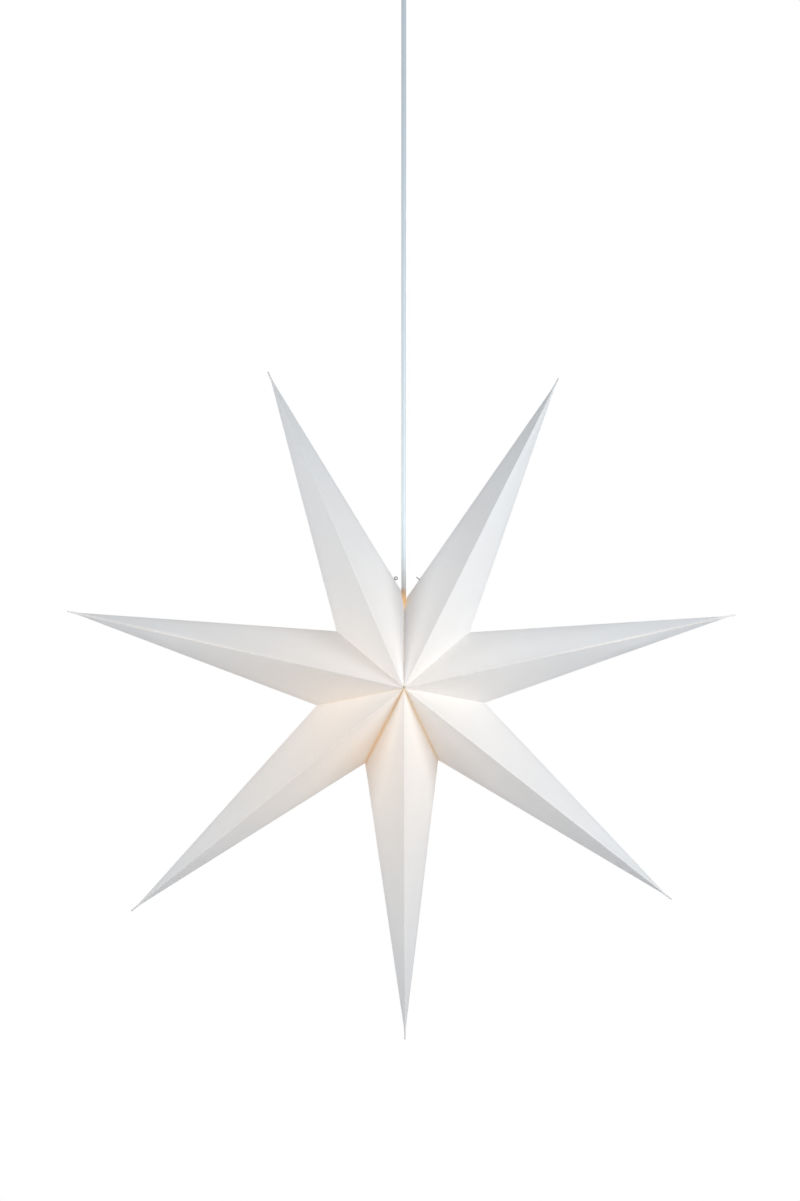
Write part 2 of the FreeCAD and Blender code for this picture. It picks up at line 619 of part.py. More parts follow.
def seam_clips():
    """Small clips inside the star that grip the two sheets of the open seam."""
    clips = []
    notch = on_clock(0, min(OPEN_SEAM_LEFT, OPEN_SEAM_RIGHT))
    for face in (FRONT, BACK):
        along = (notch - face).normalize()
        inward = Vector(0, along.z, -along.y) if face is BACK else Vector(0, -along.z, along.y)
        inward = inward if inward.dot(at(0) - face) > 0 else inward * -1
        for share in CLIP_PLACES:
            foot = face + along * (notch - face).Length * share + inward * GLUE_FLANGE
            frame = FreeCAD.Placement(foot, FreeCAD.Rotation(along.cross(inward), along, inward, "XYZ"))
            outer = Part.makeBox(2 * (PAPER + CLIP_WALL), CLIP_LENGTH, CLIP_REACH + CLIP_WALL,
                                 Vector(-PAPER - CLIP_WALL, -CLIP_LENGTH / 2, -CLIP_REACH))
            slot = Part.makeBox(2 * PAPER, CLIP_LENGTH + 2, CLIP_REACH + 1,
                                Vector(-PAPER, -CLIP_LENGTH / 2 - 1, -CLIP_REACH - 1))
            clip = outer.cut(slot)
            clip.Placement = frame
            clips.append(clip.Solids[0])
    return group(clips)


def main():
    os.makedirs("parts", exist_ok=True)
    for make in (ceiling_bracket, ceiling_canopy, canopy_screws, cord_gland, gland_nut, gland_grip,
                 terminal_block, terminal_clamps, terminal_screws, cord_in_canopy,
                 cord_bend, bend_sleeve, cord,
                 holder_cap, cord_grip, cord_grip_screw, holder_body, holder_insert, holder_socket,
                 holder_contact, holder_terminals, holder_terminal_screws,
                 bulb_contact, bulb_insulator, bulb_cap, bulb_globe, bulb_stem, bulb_filaments,
                 hanger_wire, seam_clips):
        save(make.__name__, make())
    for name, side in (("live", 1), ("neutral", -1)):
        save("upper_%s_core" % name, upper_core(side))
        save("lower_%s_core" % name, lower_core(side))
    for number in range(len(TIPS)):
        save("star_point_%d" % (number + 1), star_point(number))


main()
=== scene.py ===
"""Looks of a folded paper star pendant lamp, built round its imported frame, in metres with +Z up.

The star has seven folded paper points. Each is a hollow sheet with a front and a back ridge, drawn
out to a needle at its tip, cut along its two seams and given a glued strip inside each seam. The
sheets, the cord and the cord's bend sleeve are modelled here. The other pieces keep the frame's
shapes and get their finishes here.
"""
import json
import math

import bmesh
import bpy
from mathutils import Matrix, Vector, noise


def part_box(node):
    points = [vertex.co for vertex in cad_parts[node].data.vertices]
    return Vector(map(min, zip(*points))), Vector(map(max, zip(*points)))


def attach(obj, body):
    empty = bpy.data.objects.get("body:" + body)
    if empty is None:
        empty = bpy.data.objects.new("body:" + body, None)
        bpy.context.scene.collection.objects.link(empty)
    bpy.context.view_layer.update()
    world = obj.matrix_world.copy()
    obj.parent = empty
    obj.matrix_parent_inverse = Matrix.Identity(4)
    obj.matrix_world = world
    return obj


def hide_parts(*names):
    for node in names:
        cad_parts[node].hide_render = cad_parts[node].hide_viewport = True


bl_info = {
    "name": "Folded paper star lamp",
    "version": (1, 0, 0),
    "blender": (4, 5, 0),
    "location": "View3D > Sidebar > Star lamp",
    "description": "Dresses a seven-pointed folded paper star lamp, its cord, lampholder and ceiling cup",
    "category": "Object",
}

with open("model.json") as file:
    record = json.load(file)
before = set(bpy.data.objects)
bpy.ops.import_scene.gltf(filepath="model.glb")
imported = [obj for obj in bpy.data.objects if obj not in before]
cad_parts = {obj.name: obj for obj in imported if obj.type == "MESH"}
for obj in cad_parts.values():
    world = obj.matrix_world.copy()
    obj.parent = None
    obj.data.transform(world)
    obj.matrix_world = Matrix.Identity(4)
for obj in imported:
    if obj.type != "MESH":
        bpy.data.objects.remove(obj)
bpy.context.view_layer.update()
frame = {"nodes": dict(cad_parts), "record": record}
SLOT_OF = {part["node"]: part["material_slot"] for part in frame["record"]["subparts"]}

# Tips and glued seams, clockwise from the one right of the cord: degrees from straight up, and reach.
TIPS = [(26.6, 0.3750), (77.7, 0.3690), (128.4, 0.3710), (179.8, 0.3825),
        (230.6, 0.3830), (282.7, 0.3750), (336.7, 0.3730)]
SEAMS = [(50.1, 0.0930), (100.9, 0.0895), (154.7, 0.0875),
         (207.0, 0.0925), (258.2, 0.0965), (309.8, 0.0950)]
OPEN_SEAM = ((0.0, 0.0926), (0.0, 0.1000))      # its right and left sheets' notches
GAP_FOOT = 0.0875                               # height where the open seam starts to part
GAP_SLOPES = (0.352, 0.173)                     # of its right and left edges
CORD_PASSAGE = 0.0031                           # kept clear of the strips, either side of the cord
SEAM_WARMTH = (0.0, 0.0, 0.75, 1.0, 0.12, 0.0)  # how much lamplight each glued seam shows
SEAM_REACH = 0.0034                             # how far from a seam its painted lamplight and shade reach
SEAM_BOUNCE = 0.020                             # how far from a warm seam its light reaches
GAP_PAINTED_LIGHT_REACH = 0.010                            # how far from the open seam the paper gets painted light
PAINTED_RIDGE_HIGHLIGHT = (0.1, 1.0, 0.2, 0.3, 0.2, 1.0, 0.0)  # how strong each point's painted ridge highlight is
PAINTED_HIGHLIGHT_START = 0.35                                # share of the point's length where the painted ridge highlight starts
CREASE_BAND = 0.012                             # how deep the shade beside an outer crease is
TIP_SHADE = 0.30                                # how large the section is where a tip starts to shade
GLOW_PLACE = (-0.054, -0.039, -0.058)           # middle of the lamp's warmth on the front, from the centre
EVEN_GLOW_FRONT = 0.03                          # how far before the centre the paler light's middle is
BULB_DROP = 0.02                                # how far below the centre the lamp shines from, inside
CENTRE_HOLE_SHADE = 0.0012                            # how far above the centre the painted shade of its small hole lies
PAPER_BUMP = 0.00012                            # height of the paper's texture

# Heights on the cord, from the ceiling, where each change of its tone starts and ends.
CORD_PALER = (-0.24, -0.62)
# Painted shade above the star, then painted warm lamplight and shade, then painted lamplight where the cord
# goes in.
CORD_SHADED = (-0.700, -0.728)
CORD_LAMP_WARM_SHADE = (-0.731, -0.736)
CORD_LIT = (-0.733, -0.746)

# The stage's lamps: place from the star's centre, power in watts and spread in degrees.
LAMPS = {"right lamp": ((0.87, -0.91, 0.19), 9.5, 180),
         "left lamp": ((-0.95, -0.86, 0.19), 6.6, 180),
         "back lamp": ((0.10, 1.25, 0.30), 1.3, 45)}
LAMP_SIZE = 0.7
FLOOR_RADIUS = 1.1
FLOOR_LIFT = 0.35                               # how much lighter the floor is to the camera


# ---- what a user would change --------------------------------------------------------------------
class StarSizes(bpy.types.PropertyGroup):
    drop: bpy.props.FloatProperty(
        name="Drop", description="From the ceiling to the star's centre", default=0.840, unit="LENGTH")
    half_depth: bpy.props.FloatProperty(
        name="Half depth", description="From the star's centre to its front", default=0.100, unit="LENGTH")
    paper: bpy.props.FloatProperty(
        name="Paper", description="Paper thickness", default=0.0003, unit="LENGTH")
    glued_strip: bpy.props.FloatProperty(
        name="Glued strip", description="Width of the strip inside each seam", default=0.010, unit="LENGTH")
    fold_width: bpy.props.FloatProperty(
        name="Fold width", description="Width of a rounded fold at the star's centre", default=0.0007,
        unit="LENGTH")
    needle_length: bpy.props.FloatProperty(
        name="Needle length", description="How far short of the tip the straight edges would meet",
        default=0.0054, unit="LENGTH")
    needle_width: bpy.props.FloatProperty(
        name="Needle width", description="Half width of the drawn-out tip", default=0.0009, unit="LENGTH")
    bow: bpy.props.FloatProperty(
        name="Bow", description="How far a panel stands out in its middle", default=0.0010, unit="LENGTH")
    ripple: bpy.props.FloatProperty(
        name="Ripple", description="Unevenness of the ridges", default=0.0004, unit="LENGTH")


class CordSizes(bpy.types.PropertyGroup):
    diameter: bpy.props.FloatProperty(
        name="Diameter", description="Of the round two-core cord", default=0.0054, unit="LENGTH")
    sleeve_ribs: bpy.props.IntProperty(
        name="Sleeve ribs", description="Grooved rings of the bend sleeve", default=6)


class Finishes(bpy.types.PropertyGroup):
    paper: bpy.props.FloatVectorProperty(
        name="Paper", description="Colour of the star's paper", subtype="COLOR", size=4,
        default=(0.831, 0.864, 0.898, 1))
    glow: bpy.props.FloatVectorProperty(
        name="Glow", description="Colour of lamplight on the sheets' inner side", subtype="COLOR", size=4,
        default=(1.0, 0.58, 0.24, 1))
    # Painted warm lamplight and shade that the warm seams give the paper's colour.
    seam_painted_light_and_shade: bpy.props.FloatVectorProperty(
        name="Seam painted light and shade", description="What the warm seams do to the paper's colour", subtype="COLOR",
        size=4, default=(0.93, 0.80, 0.62, 1))
    # The jacket's own colour is white; the blue-grey in this colour is a painted reflection of the
    # surroundings.
    cord: bpy.props.FloatVectorProperty(
        name="Cord", description="Colour of the cord's jacket", subtype="COLOR", size=4,
        default=(0.56, 0.65, 0.73, 1))
    plastic: bpy.props.FloatVectorProperty(
        name="Plastic", description="Colour of the moulded pieces", subtype="COLOR", size=4,
        default=(0.80, 0.80, 0.79, 1))


class StageSizes(bpy.types.PropertyGroup):
    view_height: bpy.props.FloatProperty(
        name="View height", description="Of the picture, at the star", default=1.302, unit="LENGTH")
    view_centre: bpy.props.FloatVectorProperty(
        name="View centre", description="Middle of the picture, at the star", default=(-0.0041, 0, -0.746),
        subtype="TRANSLATION")
    distance: bpy.props.FloatProperty(
        name="Distance", description="From the camera to the star", default=9.0, unit="LENGTH")
    floor_drop: bpy.props.FloatProperty(
        name="Floor drop", description="From the ceiling to the floor", default=1.75, unit="LENGTH")
    ambient: bpy.props.FloatProperty(
        name="Ambient", description="Strength of the even light from all round", default=0.337)


# ---- node trees ------------------------------------------------------------------------------------
def add(tree, kind, *inputs, **settings):
    """A node with its settings and, in order, its inputs: sockets, values or None to leave alone."""
    made = tree.nodes.new(kind)
    for name, value in settings.items():
        setattr(made, name, value)
    for socket, value in zip(made.inputs, inputs):
        if isinstance(value, bpy.types.NodeSocket):
            tree.links.new(value, socket)
        elif value is not None:
            socket.default_value = value
    return made


def maths(tree, operation, *inputs):
    """Sums on single values."""
    return add(tree, "ShaderNodeMath", *inputs, operation=operation).outputs[0]


def times(tree, colour, amount):
    """A colour times an amount."""
    return add(tree, "ShaderNodeVectorMath", colour, amount, operation="MULTIPLY").outputs[0]


def plus(tree, first, second):
    """Two lights together."""
    return add(tree, "ShaderNodeVectorMath", first, second, operation="ADD").outputs[0]


def from_mesh(tree, name):
    """A value that the mesh keeps at each place."""
    return add(tree, "ShaderNodeAttribute", attribute_name=name).outputs["Fac"]


def mixed(tree, blend, factor, first, second):
    """Two colours mixed."""
    made = tree.nodes.new("ShaderNodeMix")
    made.data_type = "RGBA"
    made.blend_type = blend
    for name, value in (("Factor_Float", factor), ("A_Color", first), ("B_Color", second)):
        socket = next(s for s in made.inputs if s.identifier == name)
        if isinstance(value, bpy.types.NodeSocket):
            tree.links.new(value, socket)
        else:
            socket.default_value = value
    return next(s for s in made.outputs if s.identifier == "Result_Color")


def ramp(tree, value, low, high, to_low=0.0, to_high=1.0):
    """A value's range stretched to another, without going past it."""
    made = add(tree, "ShaderNodeMapRange", value, low, high, to_low, to_high, clamp=True)
    return made.outputs[0]


def spots(tree, where, scale, detail=2.0, roughness=0.5):
    """Soft noise from 0 to 1."""
    made = add(tree, "ShaderNodeTexNoise", where, noise_dimensions="3D")
    made.inputs["Scale"].default_value = scale
    made.inputs["Detail"].default_value = detail
    made.inputs["Roughness"].default_value = roughness
    return made.outputs["Fac"]


def object_place(tree, stretch=(1, 1, 1)):
    """Object coordinates, in metres, stretched along the axes."""
    where = add(tree, "ShaderNodeTexCoord").outputs["Object"]
    return add(tree, "ShaderNodeMapping", where, None, None, stretch).outputs[0]


def away_from(tree, place, stretch=(1, 1, 1)):
    """Distance from a place, with the axes stretched."""
    where = object_place(tree, stretch)
    return add(tree, "ShaderNodeVectorMath", where, place, operation="DISTANCE").outputs["Value"]


def effect(name, inputs, outputs):
    """A new node group: its tree, its input sockets and its output node."""
    tree = bpy.data.node_groups.new(name, "ShaderNodeTree")
    for label, kind, value in inputs:
        socket = tree.interface.new_socket(label, in_out="INPUT", socket_type="NodeSocket" + kind)
        socket.default_value = value
    for label, kind in outputs:
        tree.interface.new_socket(label, in_out="OUTPUT", socket_type="NodeSocket" + kind)
    source = tree.nodes.new("NodeGroupInput")
    return tree, source.outputs, tree.nodes.new("NodeGroupOutput")


def placed(tree, name, **inputs):
    """A node group in a tree, with its own values."""
    made = tree.nodes.new("ShaderNodeGroup")
    made.node_tree = bpy.data.node_groups[name]
    for label, value in inputs.items():
        socket = made.inputs[label.replace("_", " ")]
        if isinstance(value, bpy.types.NodeSocket):
            tree.links.new(value, socket)
        else:
            socket.default_value = value
    return made.outputs


def make_paper_fibres_and_painted_shading():
    """Cloudy tone of the sheet held to the light, fine fibres, a painted highlight along the folds, and
    painted shade beside the outer creases and towards the tips.
    """
    tree, given, result = effect(
        "Paper fibres and painted shading",
        [("Colour", "Color", (0.9, 0.9, 0.9, 1)), ("Cloudiness", "Float", 0.03), ("Fold rub", "Float", 0.5)],
        [("Colour", "Color"), ("Height", "Float")])
    clouds = spots(tree, object_place(tree), 55, 3.0)
    fibres = spots(tree, object_place(tree, (1, 1, 2.5)), 1400, 2.0, 0.6)
    swing = maths(tree, "SUBTRACT", clouds, 0.5)
    grain = maths(tree, "SUBTRACT", fibres, 0.5)
    tone = maths(tree, "MULTIPLY_ADD", swing, given["Cloudiness"],
                 maths(tree, "MULTIPLY_ADD", grain, 0.022, 1.0))
    toned = times(tree, given["Colour"], tone)
    # Painted highlight: the paper is mixed to white along the ridge.
    painted_shine = maths(tree, "MULTIPLY", ramp(tree, from_mesh(tree, "ridge_distance"), 0.0004, 0.0016, 1, 0),
                maths(tree, "MULTIPLY", from_mesh(tree, "ridge_highlight_paint"), given["Fold rub"]))
    # Painted shade: darker beside the outer creases and towards the tips.
    shaded = mixed(tree, "MULTIPLY", from_mesh(tree, "crease_shade"), toned, (0.93, 0.93, 0.935, 1))
    tree.links.new(mixed(tree, "MIX", painted_shine, shaded, (1, 1, 1, 1)), result.inputs["Colour"])
    tree.links.new(maths(tree, "MULTIPLY_ADD", fibres, 0.5, clouds), result.inputs["Height"])


def make_lamp_glow():
    """How strongly the lamp shines through at a place: falling off round a centre."""
    tree, given, result = effect(
        "Lamp glow",
        [("Centre", "Vector", (0, 0, 0)), ("Reach", "Float", 0.1), ("Power", "Float", 1.15),
         ("Strength", "Float", 1.0)],
        [("Amount", "Float")])
    away = away_from(tree, given["Centre"])
    share = maths(tree, "POWER", maths(tree, "DIVIDE", away, given["Reach"]), given["Power"])
    fading = maths(tree, "EXPONENT", maths(tree, "MULTIPLY", share, -1.0))
    tree.links.new(maths(tree, "MULTIPLY", fading, given["Strength"]), result.inputs["Amount"])


def make_moulded_skin():
    """Slight flow marks and the fine texture of a moulded or extruded surface."""
    tree, given, result = effect(
        "Moulded skin",
        [("Colour", "Color", (0.8, 0.8, 0.8, 1)), ("Roughness", "Float", 0.4), ("Grain", "Float", 900.0)],
        [("Colour", "Color"), ("Roughness", "Float"), ("Height", "Float")])
    flow = spots(tree, object_place(tree, (1, 1, 0.3)), 45, 2.0)
    grain = add(tree, "ShaderNodeTexNoise", object_place(tree), noise_dimensions="3D")
    tree.links.new(given["Grain"], grain.inputs["Scale"])
    tone = ramp(tree, flow, 0.3, 0.7, 0.965, 1.0)
    toned = times(tree, given["Colour"], tone)
    tree.links.new(toned, result.inputs["Colour"])
    worn = maths(tree, "MULTIPLY_ADD", maths(tree, "SUBTRACT", grain.outputs["Fac"], 0.5), 0.15,
                 given["Roughness"])
    tree.links.new(worn, result.inputs["Roughness"])
    tree.links.new(grain.outputs["Fac"], result.inputs["Height"])


def make_drawn_metal():
    """Fine lines and dull patches of rolled, drawn or plated metal."""
    tree, given, result = effect(
        "Drawn metal",
        [("Colour", "Color", (0.6, 0.6, 0.6, 1)), ("Roughness", "Float", 0.3), ("Dulling", "Float", 0.15)],
        [("Colour", "Color"), ("Roughness", "Float"), ("Height", "Float")])
    lines = spots(tree, object_place(tree, (12, 12, 1)), 260, 2.0)
    patches = spots(tree, object_place(tree), 160, 3.0)
    dull = maths(tree, "MULTIPLY", ramp(tree, patches, 0.45, 0.7), given["Dulling"])
    tone = maths(tree, "SUBTRACT", 1.0, dull)
    toned = times(tree, given["Colour"], tone)
    tree.links.new(toned, result.inputs["Colour"])
    tree.links.new(maths(tree, "MULTIPLY_ADD", lines, 0.12, maths(tree, "ADD", given["Roughness"], dull)),
                   result.inputs["Roughness"])
    tree.links.new(lines, result.inputs["Height"])


# ---- materials -------------------------------------------------------------------------------------
def shader(name):
    """A new material: its tree and its Principled BSDF."""
    made = bpy.data.materials.new(name)
    made.use_nodes = True
    return made, made.node_tree, made.node_tree.nodes["Principled BSDF"]


def bumped(tree, bsdf, height, distance, strength=1.0):
    """Gives a finish its fine relief."""
    bump = add(tree, "ShaderNodeBump")
    bump.inputs["Strength"].default_value = strength
    bump.inputs["Distance"].default_value = distance
    tree.links.new(height, bump.inputs["Height"])
    tree.links.new(bump.outputs[0], bsdf.inputs["Normal"])


def from_centre(x, y, z):
    """A place given from the star's centre."""
    return (x, y, z - bpy.context.scene.star_sizes.drop)


def seam_colour(tree):
    """Painted light and shade at the seams: painted warm lamplight and shade low down, painted light beside
    the open one, and a painted dark spot for the shade of the hole in the middle.
    """
    away = from_mesh(tree, "seam_distance")
    close = maths(tree, "POWER", ramp(tree, away, 0.0001, SEAM_REACH, 1, 0), 1.3)
    warm = maths(tree, "MULTIPLY", close, from_mesh(tree, "seam_warmth"))
    pale = maths(tree, "MULTIPLY", ramp(tree, away, 0.0003, GAP_PAINTED_LIGHT_REACH, 1, 0), from_mesh(tree, "seam_gap"))
    # Painted warm lamplight and shade along the warm seams.
    warmed = mixed(tree, "MIX", warm, (1, 1, 1, 1), bpy.context.scene.star_finishes.seam_painted_light_and_shade)
    # Painted light: the paper beside the open seam is brightened against the shade in the gap.
    paled = mixed(tree, "MIX", pale, warmed, (1.06, 1.09, 1.12, 1))
    middle = from_centre(0, -bpy.context.scene.star_sizes.half_depth, CENTRE_HOLE_SHADE)
    # Painted shade: a small dark spot where the hole at the centre is.
    hole_shade = ramp(tree, away_from(tree, middle, (2, 1, 1)), 0.0012, 0.0036, 1, 0)
    return mixed(tree, "MIX", hole_shade, paled, (0.46, 0.50, 0.44, 1))


def paper_material():
    """White sheet with the lamp behind it, its light painted on: a pale even light, and a warm tint round
    the bulb.
    """
    finish = bpy.context.scene.star_finishes
    made, tree, bsdf = shader("Star paper")
    fibres = placed(tree, "Paper fibres and painted shading", Colour=finish.paper, Cloudiness=0.03, Fold_rub=0.95)
    even = placed(tree, "Lamp glow", Centre=from_centre(0, -EVEN_GLOW_FRONT, 0), Reach=0.042, Power=1.0,
                  Strength=0.078)["Amount"]
    warm = placed(tree, "Lamp glow", Centre=from_centre(*GLOW_PLACE), Reach=0.150, Strength=1.0)["Amount"]
    # Painted lamplight: the base colour and the glow turn warm round the bulb.
    tint = mixed(tree, "MULTIPLY", 1.0, mixed(tree, "MIX", warm, (1, 1, 1, 1), (1.0, 0.948, 0.87, 1)),
                 seam_colour(tree))
    bounce = maths(tree, "MULTIPLY", ramp(tree, from_mesh(tree, "seam_distance"), 0.0, SEAM_BOUNCE, 1, 0),
                   from_mesh(tree, "seam_warmth"))
    shone = plus(tree, times(tree, (0.98, 1.0, 1.03), even), times(tree, (0.155, 0.088, 0.048), warm))
    light = plus(tree, shone, times(tree, (0.070, 0.056, 0.044), bounce))
    tree.links.new(mixed(tree, "MULTIPLY", 1.0, fibres["Colour"], tint), bsdf.inputs["Base Color"])
    tree.links.new(mixed(tree, "MULTIPLY", 1.0, light, tint), bsdf.inputs["Emission Color"])
    bsdf.inputs["Emission Strength"].default_value = 1.0
    bsdf.inputs["Roughness"].default_value = 0.85
    bsdf.inputs["Specular IOR Level"].default_value = 0.25
    bumped(tree, bsdf, fibres["Height"], PAPER_BUMP)
    return made


def paper_inside_material():
    """The side that faces the lamp, with painted lamplight, and painted shade in the narrow fold at the
    front centre.
    """
    finish = bpy.context.scene.star_finishes
    made, tree, bsdf = shader("Star paper inside")
    fibres = placed(tree, "Paper fibres and painted shading", Colour=finish.paper, Cloudiness=0.03, Fold_rub=0.0)
    lit = placed(tree, "Lamp glow", Centre=from_centre(0, 0, -BULB_DROP), Reach=0.12, Strength=1.1)["Amount"]
    fold = from_centre(0, -bpy.context.scene.star_sizes.half_depth, 0)
    seen = ramp(tree, away_from(tree, fold), 0.006, 0.030)
    light = times(tree, finish.glow[:3], maths(tree, "MULTIPLY", lit, seen))
    # Painted shade: the paper is mixed to near black close to the front fold.
    toned = mixed(tree, "MIX", seen, (0.12, 0.12, 0.10, 1), fibres["Colour"])
    tree.links.new(toned, bsdf.inputs["Base Color"])
    tree.links.new(light, bsdf.inputs["Emission Color"])
    bsdf.inputs["Emission Strength"].default_value = 1.0
    bsdf.inputs["Roughness"].default_value = 0.9
    bumped(tree, bsdf, fibres["Height"], PAPER_BUMP)
    return made


def cord_material():
    """Smooth pale jacket, with painted shade above the star, painted warm lamplight and shade where it goes
    into the star, painted lamplight inside it, and a painted sheen at its sides.
    """
    finish = bpy.context.scene.star_finishes
    made, tree, bsdf = shader("Cord jacket")
    skin = placed(tree, "Moulded skin", Colour=finish.cord, Roughness=0.34, Grain=2200.0)
    height = add(tree, "ShaderNodeSeparateXYZ", object_place(tree)).outputs[2]
    paler = ramp(tree, height, *CORD_PALER, 0.0, 0.45)
    toned = mixed(tree, "MIX", paler, skin["Colour"], (0.80, 0.86, 0.88, 1))
    shaded = mixed(tree, "MIX", ramp(tree, height, *CORD_SHADED), toned, (0.62, 0.62, 0.62, 1))
    # Painted warm lamplight and shade: brownish where the cord goes into the star.
    painted_warm_shade_tone = mixed(tree, "MIX", ramp(tree, height, *CORD_LAMP_WARM_SHADE), shaded, (0.56, 0.38, 0.26, 1))
    lamp = times(tree, (0.33, 0.225, 0.09), ramp(tree, height, *CORD_LIT))
    tree.links.new(painted_warm_shade_tone, bsdf.inputs["Base Color"])
    tree.links.new(skin["Roughness"], bsdf.inputs["Roughness"])
    # Painted sheen: the cord glows more towards its sides.
    side = add(tree, "ShaderNodeLayerWeight", 0.3).outputs["Facing"]
    soft = times(tree, painted_warm_shade_tone, maths(tree, "MULTIPLY", side, 0.16))
    tree.links.new(plus(tree, lamp, soft), bsdf.inputs["Emission Color"])
    bsdf.inputs["Emission Strength"].default_value = 1.0
    bsdf.inputs["Coat Weight"].default_value = 0.15
    bumped(tree, bsdf, skin["Height"], 0.00003)
    return made


def moulded_material(name, colour, roughness, grain=900.0, depth=0.00003, coat=0.0):
    """Plastic, insulation or ceramic."""
    made, tree, bsdf = shader(name)
    skin = placed(tree, "Moulded skin", Colour=colour, Roughness=roughness, Grain=grain)
    tree.links.new(skin["Colour"], bsdf.inputs["Base Color"])
    tree.links.new(skin["Roughness"], bsdf.inputs["Roughness"])
    bsdf.inputs["Coat Weight"].default_value = coat
    bumped(tree, bsdf, skin["Height"], depth)
    return made


def metal_material(name, colour, roughness, dulling=0.15, depth=0.00001):
    """Bare or plated metal."""
    made, tree, bsdf = shader(name)
    drawn = placed(tree, "Drawn metal", Colour=colour, Roughness=roughness, Dulling=dulling)
    tree.links.new(drawn["Colour"], bsdf.inputs["Base Color"])
    tree.links.new(drawn["Roughness"], bsdf.inputs["Roughness"])
    bsdf.inputs["Metallic"].default_value = 1.0
    bumped(tree, bsdf, drawn["Height"], depth)
    return made


def glass_material():
    """Clear, slightly warm glass."""
    made, tree, bsdf = shader("Bulb glass")
    skin = placed(tree, "Moulded skin", Colour=(0.98, 0.95, 0.90, 1), Roughness=0.04, Grain=120.0)
    tree.links.new(skin["Colour"], bsdf.inputs["Base Color"])
    bsdf.inputs["Roughness"].default_value = 0.03
    bsdf.inputs["Transmission Weight"].default_value = 1.0
    bsdf.inputs["IOR"].default_value = 1.48
    bumped(tree, bsdf, skin["Height"], 0.0001, 0.3)
    return made


def filament_material():
    """Glowing sticks with brighter beads."""
    made, tree, bsdf = shader("Bulb filament")
    beads = spots(tree, object_place(tree), 900, 1.0)
    glow = mixed(tree, "MIX", ramp(tree, beads, 0.35, 0.65), (1.0, 0.58, 0.24, 1), (1.0, 0.80, 0.52, 1))
    tree.links.new(glow, bsdf.inputs["Base Color"])
    tree.links.new(glow, bsdf.inputs["Emission Color"])
    bsdf.inputs["Emission Strength"].default_value = 4.0
    bsdf.inputs["Roughness"].default_value = 0.5
    return made


def make_materials():
    """One material for each finish slot of the record."""
    finish = bpy.context.scene.star_finishes
    return {
        "star_paper": paper_material(),
        "cord_jacket": cord_material(),
        "white_plastic": moulded_material("White plastic", finish.plastic, 0.38),
        "bracket_steel": metal_material("Zinc plated steel", (0.60, 0.62, 0.64, 1), 0.34, 0.3),
        "screw_steel": metal_material("Plated screws", (0.68, 0.68, 0.68, 1), 0.25),
        "hanger_steel": metal_material("Spring wire", (0.12, 0.12, 0.125, 1), 0.4),
        "contact_brass": metal_material("Brass", (0.80, 0.60, 0.28, 1), 0.28, 0.25),
        "live_core": moulded_material("Brown insulation", (0.16, 0.07, 0.03, 1), 0.35, 1500.0),
        "neutral_core": moulded_material("Blue insulation", (0.02, 0.11, 0.42, 1), 0.35, 1500.0),
        "socket_ceramic": moulded_material("White ceramic", (0.76, 0.74, 0.70, 1), 0.3, 600.0, coat=0.5),
        "bulb_metal": metal_material("Bulb cap metal", (0.74, 0.74, 0.72, 1), 0.22),
        "bulb_solder": metal_material("Solder", (0.58, 0.58, 0.57, 1), 0.42, 0.3, 0.00004),
        "bulb_seal": moulded_material("Black glass seal", (0.015, 0.015, 0.018, 1), 0.2, 700.0),
        "bulb_glass": glass_material(),
        "bulb_filament": filament_material(),
    }


MATERIALS = {}


# ---- pieces ----------------------------------------------------------------------------------------
def finished(bm, name, body, slot, *replaced, materials=()):
    """A mesh piece at the origin, riding on its body, with its slot's finish."""
    mesh = bpy.data.meshes.new(name)
    bm.to_mesh(mesh)
    bm.free()
    piece = bpy.data.objects.new(name, mesh)
    bpy.context.scene.collection.objects.link(piece)
    for material in materials or (MATERIALS[slot],):
        mesh.materials.append(material)
    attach(piece, body)
    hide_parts(*replaced)
    return piece


def on_clock(degrees, reach):
    """A place in the star's middle plane, from its centre."""
    angle = math.radians(degrees)
    return Vector((reach * math.sin(angle), 0, reach * math.cos(angle)))


ACROSS = 13                  # cuts across each panel
STATION = 0.004              # between the sheet's rings, along the point
PASSES = 0.0001              # kept between the two sheets of a seam
CENTRE_OPENING = 0.0005      # cut off the sheets at the centre
TIP_CLOSURE = 0.0006         # how far short of its reach the sheet is closed
NEEDLE_END = 0.55            # the needle's width at its end, to its width at its start
NEEDLE_BLEND = 0.006         # how softly the straight sides run into the needle
RIPPLE_BAND = 0.007          # how far from a ridge it ripples
SEAM_HOLD = 0.012            # how far from a glued seam the paper is held flat
FLAT_TIP = 0.30              # how large the section is where a tip starts to be flatter


